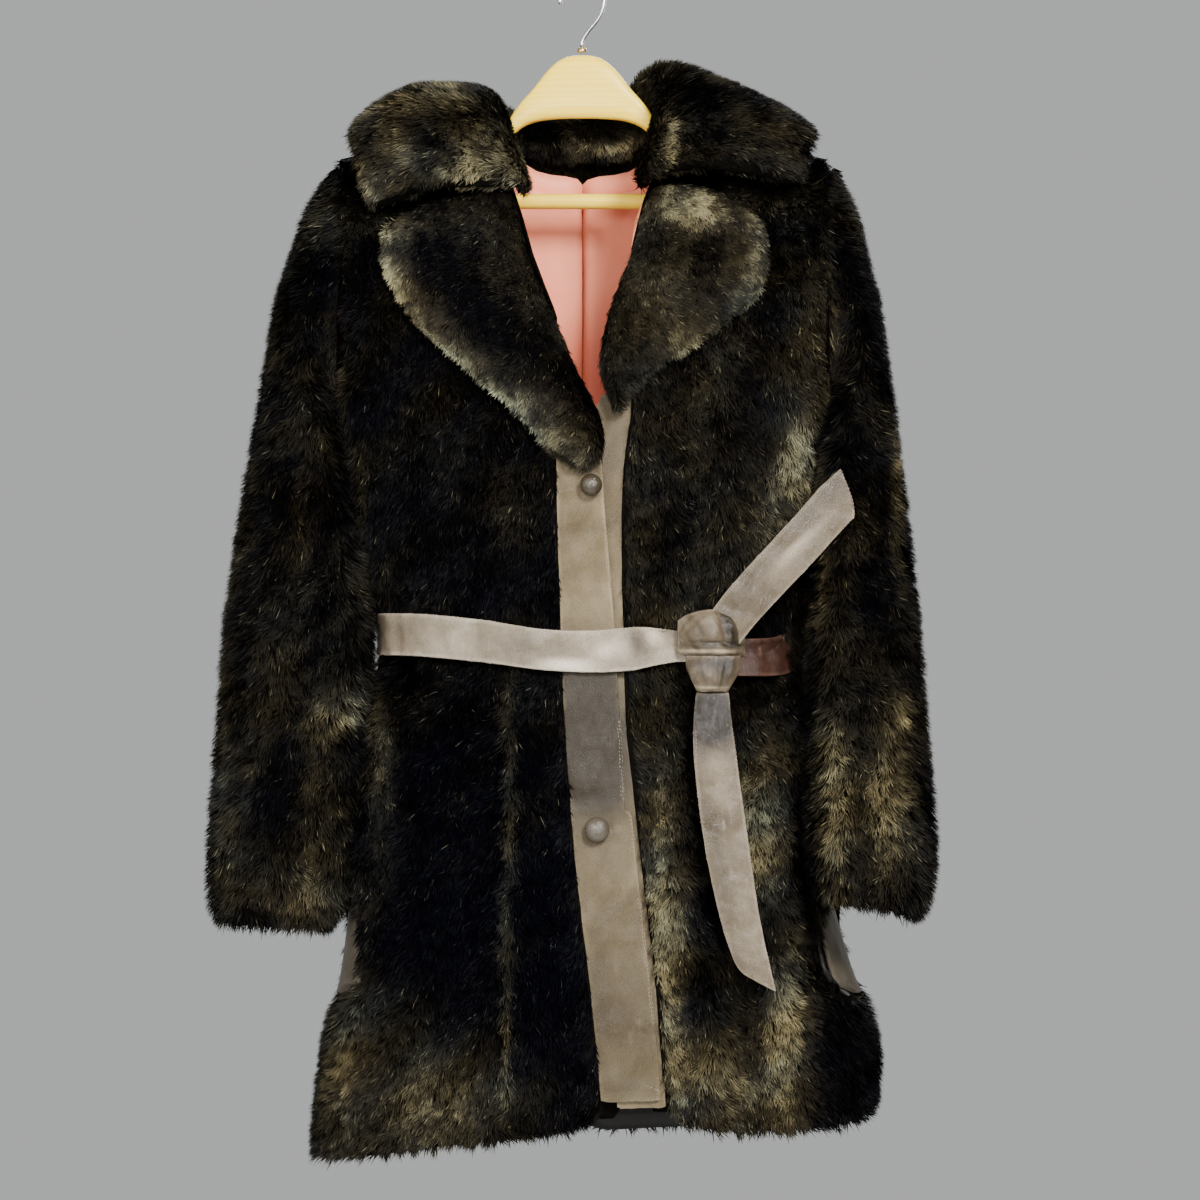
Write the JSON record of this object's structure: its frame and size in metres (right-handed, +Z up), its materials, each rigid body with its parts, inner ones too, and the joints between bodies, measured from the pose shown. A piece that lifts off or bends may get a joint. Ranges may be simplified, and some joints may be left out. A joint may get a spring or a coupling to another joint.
{
  "type": "faux fur coat on hanger",
  "caption": "Dark faux fur coat with a big fur collar and lapels, leather placket, side strips and a tied leather belt, hung on a wooden hanger.",
  "frame": {"origin": "inner top of the hanger's hook, where it rests on a rail; the coat hangs below it", "axes": "+Z up, the coat's front faces -Y, +X to the right as seen from the front"},
  "size_m": [0.6301, 0.2311, 1.016],
  "materials": {
    "fur": "dense dark brown-black pile, matte with soft glints",
    "collar_fur": "dense dark olive-brown pile, lighter where it catches the light",
    "leather": "worn taupe leather, low sheen",
    "button_leather": "dark brown covered button, semi-gloss",
    "lining": "coral satin",
    "cord": "tan twisted cord",
    "wood": "clear varnished pale wood",
    "hook_steel": "bright wire",
    "brass": "small turned ferrule"
  },
  "bodies": {
    "root": {"back_left": "fur", "back_right": "fur", "belt": "leather", "belt_loop_left": "cord", "belt_loop_right": "cord", "button_low": "button_leather", "button_top": "button_leather", "collar_left": "collar_fur", "collar_right": "collar_fur", "front_left": "fur", "front_right": "fur", "hanger_bar": "wood", "hanger_ferrule": "brass", "hanger_hook": "hook_steel", "hanger_wood": "wood", "knot_throat": "leather", "knot_wrap": "leather", "lapel_left": "collar_fur", "lapel_right": "collar_fur", "lining_back_left": "lining", "lining_back_right": "lining", "placket": "leather", "side_strip_left": "leather", "side_strip_right": "leather", "sleeve_left": "fur", "sleeve_right": "fur", "tail_down": "leather", "tail_up": "leather", "under_placket": "leather"}
  },
  "joints": []
}
